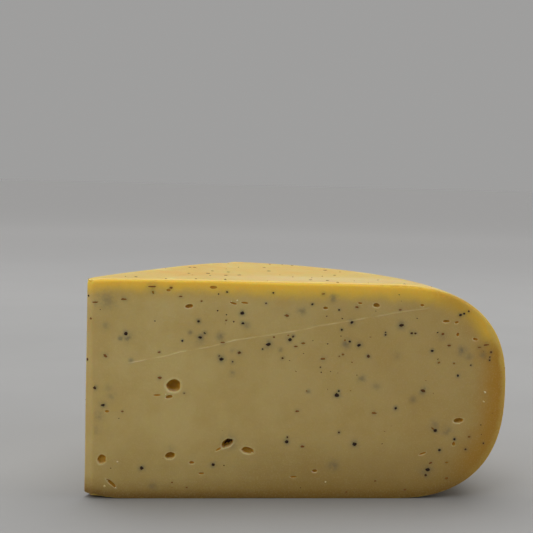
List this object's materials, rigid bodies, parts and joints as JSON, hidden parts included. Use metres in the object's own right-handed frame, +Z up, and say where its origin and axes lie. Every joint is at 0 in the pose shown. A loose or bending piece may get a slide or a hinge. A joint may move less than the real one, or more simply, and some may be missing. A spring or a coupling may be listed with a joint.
{
  "type": "truffle gouda wedge",
  "caption": "Wedge of hard cheese cut from a round wheel, with two flat cut faces, a bulging rim, small eyes and dark truffle flecks; it rests on its flat underside.",
  "frame": {"origin": "middle of the wedge's box in plan, on the plane of its flat underside", "axes": "+X along the front cut from the nose to the rim, +Y back from the front cut into the wedge, +Z up to the wheel's flat top"},
  "size_m": [0.1856, 0.1658, 0.0964],
  "materials": {
    "paste": "smooth, slightly waxy cut cheese with a thin glossy yellow coating on the rind and small dark flecks",
    "truffle": "matt, nearly black to red-brown truffle crumbs set in the cheese"
  },
  "bodies": {
    "root": {"cheese_wedge": "paste"}
  },
  "joints": []
}
